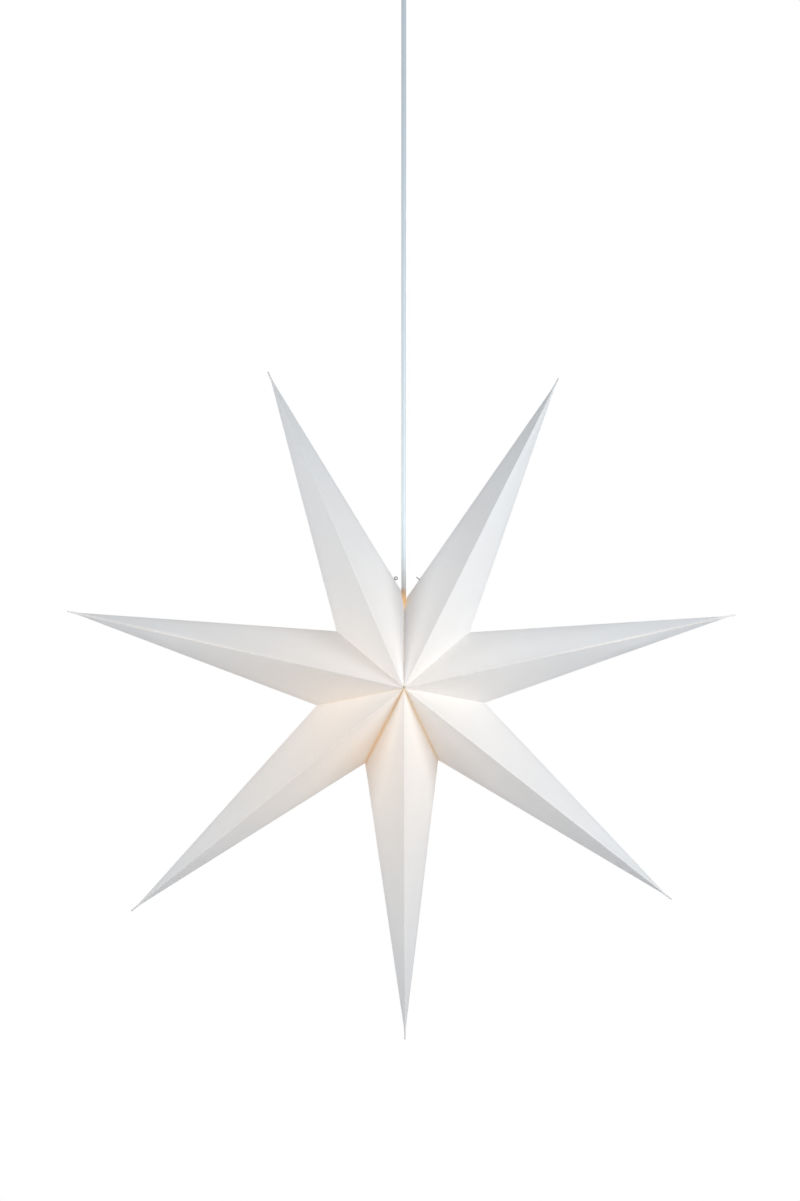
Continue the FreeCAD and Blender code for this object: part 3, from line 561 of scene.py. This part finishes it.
class Point:
    """Sizes of one folded point, in its own frame: X clockwise, Y to the back, Z towards its tip."""

    def __init__(self, number):
        sizes = bpy.context.scene.star_sizes
        degrees, self.reach = TIPS[number]
        along = on_clock(degrees, 1)
        across = along.cross(Vector((0, 1, 0))) * -1
        self.matrix = Matrix.Translation((0, 0, -sizes.drop)) @ Matrix(
            (across, Vector((0, 1, 0)), along)).transposed().to_4x4()
        before = SEAMS[number - 1] if number > 0 else OPEN_SEAM[0]
        after = SEAMS[number] if number < len(SEAMS) else OPEN_SEAM[1]
        self.notches = [Vector((n.dot(across), 0, n.dot(along))) for n in
                        (on_clock(*before), on_clock(*after))]
        self.warmth = [SEAM_WARMTH[i] if 0 <= i < len(SEAM_WARMTH) else 0.0 for i in (number - 1, number)]
        self.open_side = {0: 0, len(TIPS) - 1: 1}.get(number)
        self.number = number
        self.half_depth = sizes.half_depth
        self.straight_reach = self.reach - sizes.needle_length
        self.sides = [n.x * self.straight_reach / (self.straight_reach - n.z) for n in self.notches]

    def seam_plane(self, side):
        """Outward normal of the plane through a seam and the star's axis."""
        notch = self.notches[side]
        normal = Vector((notch.z, 0, -notch.x)) if side else Vector((-notch.z, 0, notch.x))
        return normal.normalized()

    def parting_plane(self):
        """Where the open seam parts round the cord: a place and the outward normal."""
        side = 1 if self.open_side == 0 else -1
        slope = GAP_SLOPES[self.open_side]
        normal = Vector((-side, 0, slope)).normalized()
        turn = self.matrix.to_3x3().transposed()
        return turn @ Vector((0, 0, GAP_FOOT)), turn @ normal


def share_left(point, along):
    """How large a point's section is at a station, from 1 at the star's centre to the needle."""
    sizes = bpy.context.scene.star_sizes
    straight = (point.straight_reach - along) / point.straight_reach
    width = (point.sides[1] - point.sides[0]) / 2
    left = max(0.0, (point.reach - along) / sizes.needle_length)
    needle = sizes.needle_width / width * (NEEDLE_END + (1 - NEEDLE_END) * min(1.0, left))
    return (straight + needle + math.hypot(straight - needle, NEEDLE_BLEND)) / 2


def folded_outline(bm, point):
    """The point's section at the star's centre, its four corners rounded."""
    sizes = bpy.context.scene.star_sizes
    depth = point.half_depth
    corners = [bm.verts.new(place) for place in
               ((point.sides[0], 0, 0), (0, -depth, 0), (point.sides[1], 0, 0), (0, depth, 0))]
    bm.faces.new(corners)
    bmesh.ops.bevel(bm, geom=corners, offset=sizes.fold_width / 2, offset_type="OFFSET", segments=3,
                    profile=0.5, affect="VERTICES", material=-1)
    long_edges = [edge for edge in bm.edges if edge.calc_length() > 5 * sizes.fold_width]
    bmesh.ops.subdivide_edges(bm, edges=long_edges, cuts=ACROSS)
    bmesh.ops.delete(bm, geom=list(bm.faces), context="FACES_ONLY")
    return list(bm.edges)


def drawn_out(bm, point, edges):
    """The section drawn out to the tip, ring after ring, and closed there."""
    end = point.reach - TIP_CLOSURE
    rings = round(end / STATION)
    before = 1.0
    for ring in range(1, rings + 1):
        made = bmesh.ops.extrude_edge_only(bm, edges=edges)["geom"]
        verts = [v for v in made if isinstance(v, bmesh.types.BMVert)]
        fresh = set(verts)
        edges = [e for e in made if isinstance(e, bmesh.types.BMEdge) and fresh.issuperset(e.verts)]
        share = share_left(point, end * ring / rings)
        bmesh.ops.scale(bm, verts=verts, vec=(share / before, share / before, 1))
        bmesh.ops.translate(bm, verts=verts, vec=(0, 0, end / rings))
        before = share
    bmesh.ops.contextual_create(bm, geom=edges)


def unevenness(point, place):
    """How far hand folding moves a place of the sheet from its flat panel."""
    sizes = bpy.context.scene.star_sizes
    share = share_left(point, place.z)
    side = point.sides[1] if place.x > 0 else -point.sides[0]
    across = min(1.0, abs(place.x) / (side * share))
    slope = Vector((math.copysign(point.half_depth, place.x), math.copysign(side, place.y), 0)).normalized()
    seed = 7.3 * point.number + (3.1 if place.y > 0 else 0)
    slow = noise.noise(Vector((place.z * 14, across * 1.5, seed + (1.7 if place.x > 0 else 0))))
    # Points with a stronger painted ridge highlight also ripple more at the ridge.
    quick = noise.noise(Vector((place.z * 85, seed, 0.5))) * (0.3 + PAINTED_RIDGE_HIGHLIGHT[point.number])
    panel = 4 * across * (1 - across)
    near_ridge = math.exp(-(across * side * share / RIPPLE_BAND) ** 2) * (1 - across)
    from_seam = min(-place.dot(point.seam_plane(i)) for i in (0, 1))
    free = 1 - math.exp(-(max(0.0, from_seam) / SEAM_HOLD) ** 2)
    tall = min(1.0, share / FLAT_TIP)
    out = slope * (sizes.bow * panel * (0.6 + 1.2 * slow) * tall)
    return (out + Vector((sizes.ripple * quick * near_ridge * tall, 0, 0))) * free


def cut_away(bm, place, normal, faces=None):
    """Cuts off what lies beyond a plane."""
    if faces is None:
        geometry = list(bm.verts) + list(bm.edges) + list(bm.faces)
    else:
        edges = {edge for face in faces for edge in face.edges}
        verts = {vert for face in faces for vert in face.verts}
        geometry = list(verts) + list(edges) + list(faces)
    bmesh.ops.bisect_plane(bm, geom=geometry, dist=1e-7, plane_co=place, plane_no=normal, clear_outer=True)


def glued_strips(bm, point, side):
    """The paper turned in along one seam, front and back."""
    sizes = bpy.context.scene.star_sizes
    normal = point.seam_plane(side)
    notch = point.notches[side]
    for face in (-1, 1):
        apex = Vector((0, face * point.half_depth, 0))
        seam = [edge for edge in bm.edges if edge.is_boundary and all(
            abs((v.co + normal * PASSES / 2).dot(normal)) < 2e-6 and v.co.y * face > -1e-7
            for v in edge.verts)]
        inward = (notch - apex).cross(normal).normalized()
        if inward.y * face > 0:
            inward.negate()
        for edge in seam:
            edge.smooth = False
        made = bmesh.ops.extrude_edge_only(bm, edges=seam)["geom"]
        verts = [v for v in made if isinstance(v, bmesh.types.BMVert)]
        bmesh.ops.translate(bm, verts=verts, vec=inward * sizes.glued_strip)
        strip = [f for f in made if isinstance(f, bmesh.types.BMFace)]
        clear = CORD_PASSAGE if side == point.open_side else 0.0
        cut_away(bm, (0, face * clear, 0), (0, -face, 0), strip)


def mark_distances(bm, point):
    """Keeps each place's distance from the ridge and the seams, and its painted lamplight tint, painted
    ridge highlight and painted shade.
    """
    ridge, seam, warmth, gap, painted_shine, shade = (
        bm.verts.layers.float.new(name) for name in
        ("ridge_distance", "seam_distance", "seam_warmth", "seam_gap", "ridge_highlight_paint", "crease_shade"))
    planes = [point.seam_plane(side) for side in (0, 1)]
    for vert in bm.verts:
        away = [-vert.co.dot(normal) for normal in planes]
        side = 0 if away[0] < away[1] else 1
        vert[ridge] = abs(vert.co.x)
        vert[seam] = max(0.0, away[side])
        vert[warmth] = point.warmth[side]
        vert[gap] = 1.0 if side == point.open_side else 0.0
        # How strong the painted highlight along the ridge is here.
        vert[painted_shine] = PAINTED_RIDGE_HIGHLIGHT[point.number] * min(1.0, max(0.0, vert.co.z / point.reach - PAINTED_HIGHLIGHT_START) * 4)
        left = share_left(point, vert.co.z)
        band = CREASE_BAND * min(1.0, 2 * left)
        beside_crease = max(0.0, 1 - abs(vert.co.y) / band) ** 1.5
        vert[shade] = max(beside_crease, 1 - left / TIP_SHADE)


def make_point(number):
    """One folded, glued and cut sheet with its thickness."""
    point = Point(number)
    sizes = bpy.context.scene.star_sizes
    bm = bmesh.new()
    drawn_out(bm, point, folded_outline(bm, point))
    shifts = [(vert, unevenness(point, vert.co)) for vert in bm.verts]
    for vert, shift in shifts:
        vert.co += shift
    for face in bm.faces:
        face.smooth = True
    for side in (0, 1):
        normal = point.seam_plane(side)
        cut_away(bm, normal * -PASSES / 2, normal)
    if point.open_side is not None:
        cut_away(bm, *point.parting_plane())
    for side in (0, 1):
        glued_strips(bm, point, side)
    cut_away(bm, (0, 0, CENTRE_OPENING), (0, 0, -1))
    mark_distances(bm, point)
    bmesh.ops.recalc_face_normals(bm, faces=bm.faces)
    bm.transform(point.matrix)
    piece = finished(bm, f"folded_point_{number + 1}", "pendant", "star_paper", f"star_point_{number + 1}",
                     materials=(MATERIALS["star_paper"], bpy.data.materials["Star paper inside"]))
    wall = piece.modifiers.new("Paper", "SOLIDIFY")
    wall.thickness = sizes.paper
    wall.offset = -1.0
    wall.material_offset = 1
    wall.material_offset_rim = 0
    shading = piece.modifiers.new("Flat panels", "WEIGHTED_NORMAL")
    shading.keep_sharp = True
    shading.weight = 80
    return piece


def make_cord():
    """One straight run, pulled tight by the star."""
    sizes = bpy.context.scene.star_cord
    low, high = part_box("cord")
    near_end = 6 * sizes.diameter
    heights = [high.z, high.z - near_end, low.z + near_end, low.z]
    curve = bpy.data.curves.new("hanging_cord", "CURVE")
    curve.dimensions = "3D"
    curve.bevel_depth = sizes.diameter / 2
    curve.bevel_resolution = 8
    curve.use_fill_caps = True
    spline = curve.splines.new("NURBS")
    spline.points.add(len(heights) - 1)
    for place, height in zip(spline.points, heights):
        place.co = (0, 0, height, 1)
    spline.order_u = 3
    spline.use_endpoint_u = True
    spline.resolution_u = 12
    curve.materials.append(MATERIALS["cord_jacket"])
    piece = bpy.data.objects.new("hanging_cord", curve)
    bpy.context.scene.collection.objects.link(piece)
    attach(piece, "pendant")
    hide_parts("cord")
    make_bend_sleeve()


SLEEVE_END_RADIUS = 0.0035   # of its lower end
SLEEVE_COLLAR = 0.005        # height of its plain top
SLEEVE_GROOVE = 0.0007       # depth of each groove


def make_bend_sleeve():
    """Soft tapered sleeve with grooves that let it bend."""
    sizes = bpy.context.scene.star_cord
    low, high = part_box("bend_sleeve")
    bore = sizes.diameter / 2 + 0.00005
    wide, narrow = high.x, SLEEVE_END_RADIUS
    collar = high.z - SLEEVE_COLLAR
    foot = low.z + 0.0012
    outline = [(bore, low.z), (narrow - 0.0004, low.z), (narrow, low.z + 0.0006), (narrow, foot)]
    pitch = (collar - foot) / sizes.sleeve_ribs
    for rib in range(sizes.sleeve_ribs):
        start = foot + pitch * rib
        for step, sink in ((0.08, 0.0), (0.20, SLEEVE_GROOVE), (0.42, SLEEVE_GROOVE), (0.54, 0.0)):
            height = start + pitch * step
            radius = narrow + (wide - narrow) * (height - foot) / (collar - foot)
            outline.append((radius - sink, height))
    outline += [(wide, collar), (wide, high.z - 0.0024), (wide - 0.0003, high.z - 0.0018), (0.0031, high.z),
                (bore, high.z)]
    bm = bmesh.new()
    verts = [bm.verts.new((radius, 0, height)) for radius, height in outline]
    edges = [bm.edges.new(pair) for pair in zip(verts, verts[1:] + verts[:1])]
    bmesh.ops.spin(bm, geom=verts + edges, cent=(0, 0, 0), axis=(0, 0, 1), angle=math.tau, steps=48,
                   use_merge=True, dvec=(0, 0, 0))
    bmesh.ops.remove_doubles(bm, verts=bm.verts, dist=1e-7)
    bmesh.ops.recalc_face_normals(bm, faces=bm.faces)
    for face in bm.faces:
        face.smooth = True
    piece = finished(bm, "grooved_sleeve", "bend_sleeve", "white_plastic", "bend_sleeve")
    piece.data.set_sharp_from_angle(angle=math.radians(35))
    return piece


def dress_nodes(*nodes):
    """Gives CAD nodes their slot's finish."""
    for name in nodes:
        mesh = frame["nodes"][name].data
        mesh.materials.clear()
        mesh.materials.append(MATERIALS[SLOT_OF[name]])


# ---- stage -----------------------------------------------------------------------------------------
def camera_or_mirror_ray(tree):
    """1 for rays that see the background itself, straight, in a mirror or through glass."""
    path = add(tree, "ShaderNodeLightPath").outputs
    seen = maths(tree, "MAXIMUM", path["Is Camera Ray"], path["Is Glossy Ray"])
    return maths(tree, "MAXIMUM", seen, path["Is Transmission Ray"])


def make_world():
    """Even light, seen as a white background."""
    world = bpy.data.worlds.new("Even light")
    bpy.context.scene.world = world
    world.use_nodes = True
    tree = world.node_tree
    back = tree.nodes["Background"]
    strength = ramp(tree, camera_or_mirror_ray(tree), 0, 1, bpy.context.scene.star_stage.ambient, 1.0)
    back.inputs["Color"].default_value = (1, 1, 1, 1)
    tree.links.new(strength, back.inputs["Strength"])


def make_floor():
    """Plain pale round floor well below the star."""
    stage = bpy.context.scene.star_stage
    bm = bmesh.new()
    bmesh.ops.create_circle(bm, cap_ends=True, segments=96, radius=FLOOR_RADIUS)
    bmesh.ops.translate(bm, verts=bm.verts, vec=(0, 0, -stage.floor_drop))
    mesh = bpy.data.meshes.new("floor")
    bm.to_mesh(mesh)
    bm.free()
    floor = bpy.data.objects.new("floor", mesh)
    bpy.context.scene.collection.objects.link(floor)
    made, tree, bsdf = shader("Pale floor")
    bsdf.inputs["Base Color"].default_value = (0.86, 0.86, 0.86, 1)
    bsdf.inputs["Roughness"].default_value = 0.9
    bsdf.inputs["Emission Color"].default_value = (1, 1, 1, 1)
    lift = maths(tree, "MULTIPLY", camera_or_mirror_ray(tree), FLOOR_LIFT)
    tree.links.new(lift, bsdf.inputs["Emission Strength"])
    mesh.materials.append(made)


def soft_lamp(name, place, power, spread):
    """A soft round lamp that shines at the star's centre."""
    centre = Vector(from_centre(0, 0, 0))
    data = bpy.data.lights.new(name, "AREA")
    data.shape = "DISK"
    data.size = LAMP_SIZE
    data.energy = power
    data.spread = math.radians(spread)
    lamp = bpy.data.objects.new(name, data)
    lamp.location = centre + Vector(place)
    lamp.rotation_euler = (centre - lamp.location).to_track_quat("-Z", "Y").to_euler()
    lamp.visible_camera = False
    bpy.context.scene.collection.objects.link(lamp)


def make_camera():
    """Looks straight at the star's front from far away."""
    stage = bpy.context.scene.star_stage
    data = bpy.data.cameras.new("camera")
    data.lens = data.sensor_width * stage.distance / stage.view_height
    data.clip_end = 50
    camera = bpy.data.objects.new("camera", data)
    camera.location = Vector(stage.view_centre) - Vector((0, stage.distance, 0))
    camera.rotation_euler = (math.radians(90), 0, 0)
    bpy.context.scene.collection.objects.link(camera)
    bpy.context.scene.camera = camera


# ---- operators -------------------------------------------------------------------------------------
class STARLAMP_OT_finishes(bpy.types.Operator):
    """Makes every finish"""
    bl_idname = "starlamp.finishes"
    bl_label = "Finishes"

    def execute(self, context):
        make_paper_fibres_and_painted_shading()
        make_lamp_glow()
        make_moulded_skin()
        make_drawn_metal()
        MATERIALS.update(make_materials())
        paper_inside_material()
        return {"FINISHED"}


class STARLAMP_OT_stage(bpy.types.Operator):
    """Sets up the camera, the lamps and the floor"""
    bl_idname = "starlamp.stage"
    bl_label = "Stage"

    def execute(self, context):
        context.scene.view_settings.view_transform = "Standard"
        make_camera()
        make_world()
        make_floor()
        for name, (place, power, spread) in LAMPS.items():
            soft_lamp(name, place, power, spread)
        return {"FINISHED"}


class STARLAMP_OT_cord(bpy.types.Operator):
    """Hangs the straight cord and its grooved bend sleeve"""
    bl_idname = "starlamp.cord"
    bl_label = "Cord"

    def execute(self, context):
        make_cord()
        dress_nodes("cord_bend")
        return {"FINISHED"}


class STARLAMP_OT_star(bpy.types.Operator):
    """Folds the seven paper points and dresses the wire and clips that hold them"""
    bl_idname = "starlamp.star"
    bl_label = "Paper star"

    def execute(self, context):
        for number in range(len(TIPS)):
            make_point(number)
        dress_nodes("hanger_wire", "seam_clips")
        return {"FINISHED"}


class STARLAMP_OT_ceiling_fitting(bpy.types.Operator):
    """Dresses the ceiling cup, its bracket, gland and wiring"""
    bl_idname = "starlamp.ceiling_fitting"
    bl_label = "Ceiling fitting"

    def execute(self, context):
        dress_nodes("ceiling_bracket", "ceiling_canopy", "canopy_screws", "cord_gland", "gland_nut",
                    "gland_grip", "terminal_block", "terminal_clamps", "terminal_screws", "cord_in_canopy",
                    "upper_live_core", "upper_neutral_core")
        return {"FINISHED"}


class STARLAMP_OT_lampholder(bpy.types.Operator):
    """Dresses the lampholder inside the star"""
    bl_idname = "starlamp.lampholder"
    bl_label = "Lampholder"

    def execute(self, context):
        dress_nodes("holder_cap", "cord_grip", "cord_grip_screw", "holder_body", "holder_insert",
                    "holder_socket", "holder_contact", "holder_terminals", "holder_terminal_screws",
                    "lower_live_core", "lower_neutral_core")
        return {"FINISHED"}


class STARLAMP_OT_bulb(bpy.types.Operator):
    """Dresses the round filament bulb"""
    bl_idname = "starlamp.bulb"
    bl_label = "Bulb"

    def execute(self, context):
        dress_nodes("bulb_contact", "bulb_insulator", "bulb_cap", "bulb_globe", "bulb_stem",
                    "bulb_filaments")
        return {"FINISHED"}


OPERATORS = (STARLAMP_OT_finishes, STARLAMP_OT_stage, STARLAMP_OT_cord, STARLAMP_OT_star,
             STARLAMP_OT_ceiling_fitting, STARLAMP_OT_lampholder, STARLAMP_OT_bulb)


class STARLAMP_PT_panel(bpy.types.Panel):
    """Lists the lamp's steps and sizes"""
    bl_idname = "STARLAMP_PT_panel"
    bl_label = "Star lamp"
    bl_space_type = "VIEW_3D"
    bl_region_type = "UI"
    bl_category = "Star lamp"

    def draw(self, context):
        for name in SETTINGS:
            group = getattr(context.scene, name)
            for prop in group.bl_rna.properties.keys():
                if prop not in ("rna_type", "name"):
                    self.layout.prop(group, prop)
        for operator in OPERATORS:
            self.layout.operator(operator.bl_idname)


SETTINGS = {"star_sizes": StarSizes, "star_cord": CordSizes, "star_finishes": Finishes,
            "star_stage": StageSizes}
CLASSES = tuple(SETTINGS.values()) + OPERATORS + (STARLAMP_PT_panel,)


def register():
    for made in CLASSES:
        bpy.utils.register_class(made)
    for name, group in SETTINGS.items():
        setattr(bpy.types.Scene, name, bpy.props.PointerProperty(type=group))


def unregister():
    for name in SETTINGS:
        delattr(bpy.types.Scene, name)
    for made in reversed(CLASSES):
        bpy.utils.unregister_class(made)


def main():
    register()
    for operator in OPERATORS:
        getattr(bpy.ops.starlamp, operator.bl_idname.split(".")[1])()


if __name__ == "__main__":
    main()
